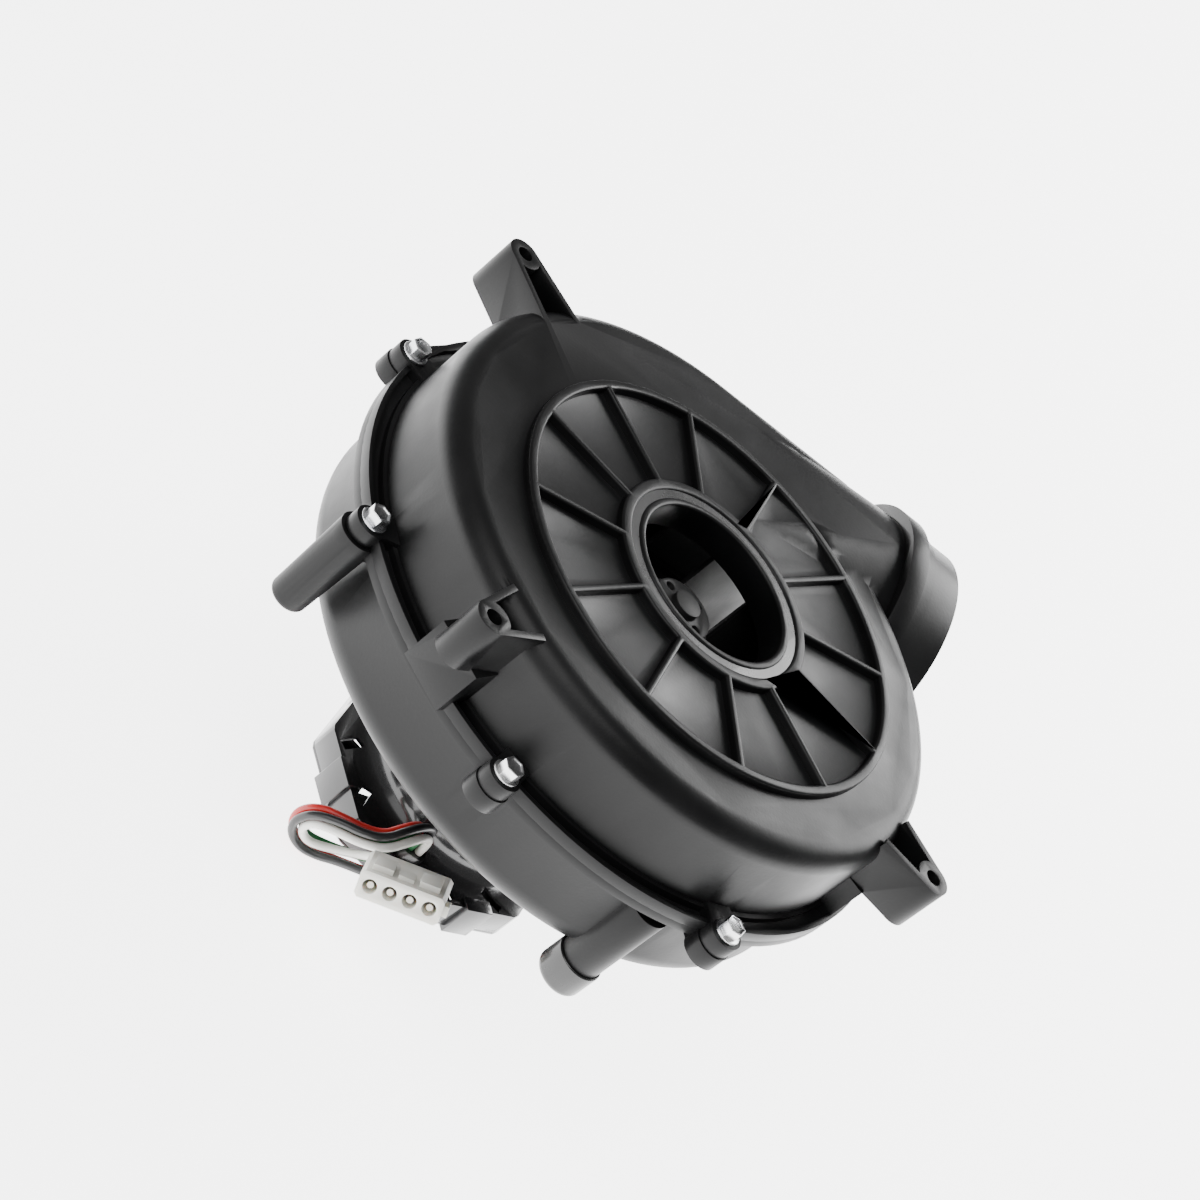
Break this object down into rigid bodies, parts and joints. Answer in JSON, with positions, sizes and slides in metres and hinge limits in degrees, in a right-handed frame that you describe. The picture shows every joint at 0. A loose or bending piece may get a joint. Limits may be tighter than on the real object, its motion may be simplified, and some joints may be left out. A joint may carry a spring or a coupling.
{
  "type": "draft inducer blower",
  "caption": "Furnace draft inducer blower: moulded black scroll housing with round inlet and outlet, mounting ears, wheel, motor and plug-in lead.",
  "frame": {"origin": "on the wheel's axis in the plane of the three mounting ears' faces", "axes": "+Z out of the inlet along the wheel's axis, +X out of the outlet, +Y from the wheel towards the outlet's side"},
  "size_m": [0.2213, 0.2299, 0.1507],
  "materials": {
    "housing_plastic": "moulded glass filled black plastic, satin",
    "wheel_plastic": "moulded black plastic",
    "hub_plastic": "moulded black plastic hub",
    "black_rubber": "black moulded rubber",
    "zinc_steel": "bright zinc plated",
    "shaft_steel": "ground steel",
    "lamination_steel": "stacked laminations",
    "cast_aluminium": "die cast",
    "copper": "enamelled copper winding",
    "motor_paint": "gloss black painted steel",
    "white_nylon": "natural white nylon",
    "contact_brass": "tinned brass contacts",
    "bearing_bronze": "sintered bronze",
    "lead_red": "red lead insulation",
    "lead_black": "black lead insulation",
    "lead_white": "white lead insulation",
    "lead_green": "green lead insulation"
  },
  "bodies": {
    "housing_body": {"bearing_carrier": "motor_paint", "cover_clips": "motor_paint", "front_bearing": "bearing_bronze", "front_housing": "housing_plastic", "housing_screws": "zinc_steel", "housing_seal": "black_rubber", "inlet_gasket": "black_rubber", "isolation_grommets": "black_rubber", "lead_black": "lead_black", "lead_green": "lead_green", "lead_grommet": "black_rubber", "lead_red": "lead_red", "lead_white": "lead_white", "motor_end_cover": "motor_paint", "motor_nuts": "zinc_steel", "motor_screws": "zinc_steel", "motor_shell": "motor_paint", "outlet_coupling": "housing_plastic", "plug_housing": "white_nylon", "plug_pins": "contact_brass", "rear_bearing": "bearing_bronze", "rear_housing": "housing_plastic", "shaft_seal": "black_rubber", "stator_core": "lamination_steel", "stator_windings": "copper"},
    "wheel_body": {"cooling_fan": "wheel_plastic", "impeller": "wheel_plastic", "impeller_hub": "hub_plastic", "motor_shaft": "shaft_steel", "rotor_core": "lamination_steel", "rotor_end_rings": "cast_aluminium"},
    "cap_body": {"drain_cap": "black_rubber"}
  },
  "joints": [
    {"name": "wheel_spin", "type": "hinge", "parent": "housing_body", "child": "wheel_body", "pos_m": [0, 0, -0.08], "axis": [0, 0, 1], "continuous": true},
    {"name": "drain_cap_pull", "type": "slide", "parent": "housing_body", "child": "cap_body", "axis": [0, 0, -1], "range_m": [0, 0.014]}
  ]
}
